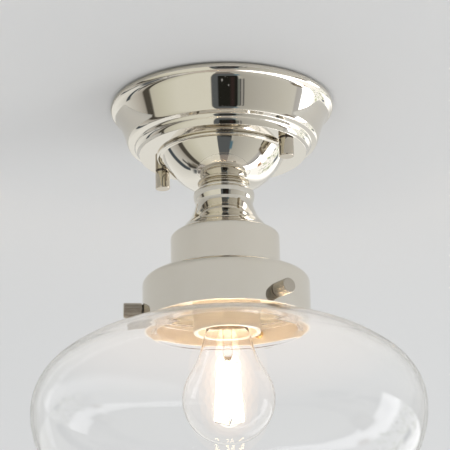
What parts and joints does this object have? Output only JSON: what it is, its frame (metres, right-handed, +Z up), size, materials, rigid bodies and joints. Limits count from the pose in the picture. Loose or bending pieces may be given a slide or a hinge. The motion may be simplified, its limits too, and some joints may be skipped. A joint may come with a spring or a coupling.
{
  "type": "semi flush ceiling light",
  "caption": "Ceiling light with a spun rose, dome, turned neck, two tier gallery with knurled thumb screws, and a clear squat glass shade round a filament bulb.",
  "frame": {"origin": "centre of the fixing strap's slots, on the ceiling plane", "axes": "+Z up into the ceiling, +X along the fixing strap and its studs"},
  "size_m": [0.254, 0.254, 0.2969],
  "materials": {
    "polished_nickel": "polished nickel plate",
    "zinc_steel": "bright zinc plate",
    "brass": "bright",
    "clear_glass": "clear",
    "bulb_glass": "clear",
    "porcelain": "glazed porcelain",
    "white_plastic": "moulded",
    "brown_sleeve": "flexible sleeve",
    "blue_sleeve": "flexible sleeve",
    "green_sleeve": "green and yellow flexible sleeve",
    "fibre": "fibre washer",
    "bulb_cap_metal": "plated brass",
    "black_glass": "black glass",
    "filament": "warm coated stick"
  },
  "bodies": {
    "light": {"fixing_strap": "zinc_steel", "strap_studs": "zinc_steel", "stud_lock_nuts": "zinc_steel", "earth_screw": "brass", "terminal_block": "white_plastic", "terminal_block_screws": "zinc_steel", "terminal_block_fixing_screw": "zinc_steel", "live_wire": "brown_sleeve", "neutral_wire": "blue_sleeve", "earth_wire": "green_sleeve", "earth_tag": "zinc_steel", "ceiling_rose": "polished_nickel", "rose_inner_washer": "zinc_steel", "rose_inner_nut": "zinc_steel", "threaded_tube": "zinc_steel", "dome": "polished_nickel", "neck_collar": "polished_nickel", "neck_spindle": "polished_nickel", "gallery_cap": "polished_nickel", "gallery_skirt": "polished_nickel", "gallery_washer": "zinc_steel", "gallery_nut": "zinc_steel", "threaded_bushes": "brass", "glass_shade": "clear_glass", "holder_cup": "polished_nickel", "holder_cup_nuts": "zinc_steel", "holder_saddle": "zinc_steel", "saddle_screws": "zinc_steel", "porcelain_body": "porcelain", "holder_terminals": "brass", "holder_terminal_screws": "zinc_steel", "screw_shell": "brass", "centre_contact": "brass"},
    "thumb_shank_1": {"thumb_screw_shank_1": "zinc_steel"},
    "thumb_head_1": {"thumb_screw_head_1": "polished_nickel"},
    "thumb_shank_2": {"thumb_screw_shank_2": "zinc_steel"},
    "thumb_head_2": {"thumb_screw_head_2": "polished_nickel"},
    "thumb_shank_3": {"thumb_screw_shank_3": "zinc_steel"},
    "thumb_head_3": {"thumb_screw_head_3": "polished_nickel"},
    "rose_washer_body_right": {"rose_washer_right": "fibre"},
    "rose_nut_body_right": {"rose_nut_right": "polished_nickel"},
    "rose_washer_body_left": {"rose_washer_left": "fibre"},
    "rose_nut_body_left": {"rose_nut_left": "polished_nickel"},
    "bulb_carriage": {"bulb_contact": "zinc_steel", "bulb_insulator": "black_glass"},
    "bulb": {"bulb_cap": "bulb_cap_metal", "bulb_glass": "bulb_glass", "bulb_stem": "bulb_glass", "bulb_filaments": "filament", "bulb_supports": "zinc_steel"}
  },
  "joints": [
    {"name": "thumb_travel_1", "type": "slide", "parent": "light", "child": "thumb_shank_1", "axis": [-0.1736, 0.9848, 0], "range_m": [0, 0.0042]},
    {"name": "thumb_turn_1", "type": "hinge", "parent": "thumb_shank_1", "child": "thumb_head_1", "pos_m": [-0.01042, 0.05909, -0.1445], "axis": [-0.1736, 0.9848, 0], "range_deg": [0, 2161]},
    {"name": "thumb_travel_2", "type": "slide", "parent": "light", "child": "thumb_shank_2", "axis": [-0.766, -0.6428, 0], "range_m": [0, 0.0042]},
    {"name": "thumb_turn_2", "type": "hinge", "parent": "thumb_shank_2", "child": "thumb_head_2", "pos_m": [-0.04596, -0.03857, -0.1445], "axis": [-0.766, -0.6428, 0], "range_deg": [0, 2161]},
    {"name": "thumb_travel_3", "type": "slide", "parent": "light", "child": "thumb_shank_3", "axis": [0.9397, -0.342, 0], "range_m": [0, 0.0042]},
    {"name": "thumb_turn_3", "type": "hinge", "parent": "thumb_shank_3", "child": "thumb_head_3", "pos_m": [0.05638, -0.02052, -0.1445], "axis": [0.9397, -0.342, 0], "range_deg": [0, 2161]},
    {"name": "rose_nut_travel_right", "type": "slide", "parent": "light", "child": "rose_washer_body_right", "axis": [0, 0, -1], "range_m": [0, 0.0084]},
    {"name": "rose_nut_turn_right", "type": "hinge", "parent": "rose_washer_body_right", "child": "rose_nut_body_right", "pos_m": [0.0502, 0, -0.04], "axis": [0, 0, -1], "range_deg": [0, 4321]},
    {"name": "rose_nut_travel_left", "type": "slide", "parent": "light", "child": "rose_washer_body_left", "axis": [0, 0, -1], "range_m": [0, 0.0084]},
    {"name": "rose_nut_turn_left", "type": "hinge", "parent": "rose_washer_body_left", "child": "rose_nut_body_left", "pos_m": [-0.0502, 0, -0.04], "axis": [0, 0, -1], "range_deg": [0, 4321]},
    {"name": "bulb_travel", "type": "slide", "parent": "light", "child": "bulb_carriage", "axis": [0, 0, -1], "range_m": [0, 0.0217]},
    {"name": "bulb_turn", "type": "hinge", "parent": "bulb_carriage", "child": "bulb", "pos_m": [0, 0, -0.15], "axis": [0, 0, -1], "range_deg": [0, 2160]}
  ],
  "couplings": [
    {"joint": "thumb_turn_1", "follows": "thumb_travel_1", "rad_per_m": 8976},
    {"joint": "thumb_turn_2", "follows": "thumb_travel_2", "rad_per_m": 8976},
    {"joint": "thumb_turn_3", "follows": "thumb_travel_3", "rad_per_m": 8976},
    {"joint": "rose_nut_turn_right", "follows": "rose_nut_travel_right", "rad_per_m": 8976},
    {"joint": "rose_nut_turn_left", "follows": "rose_nut_travel_left", "rad_per_m": 8976},
    {"joint": "bulb_turn", "follows": "bulb_travel", "rad_per_m": 1731.4}
  ]
}
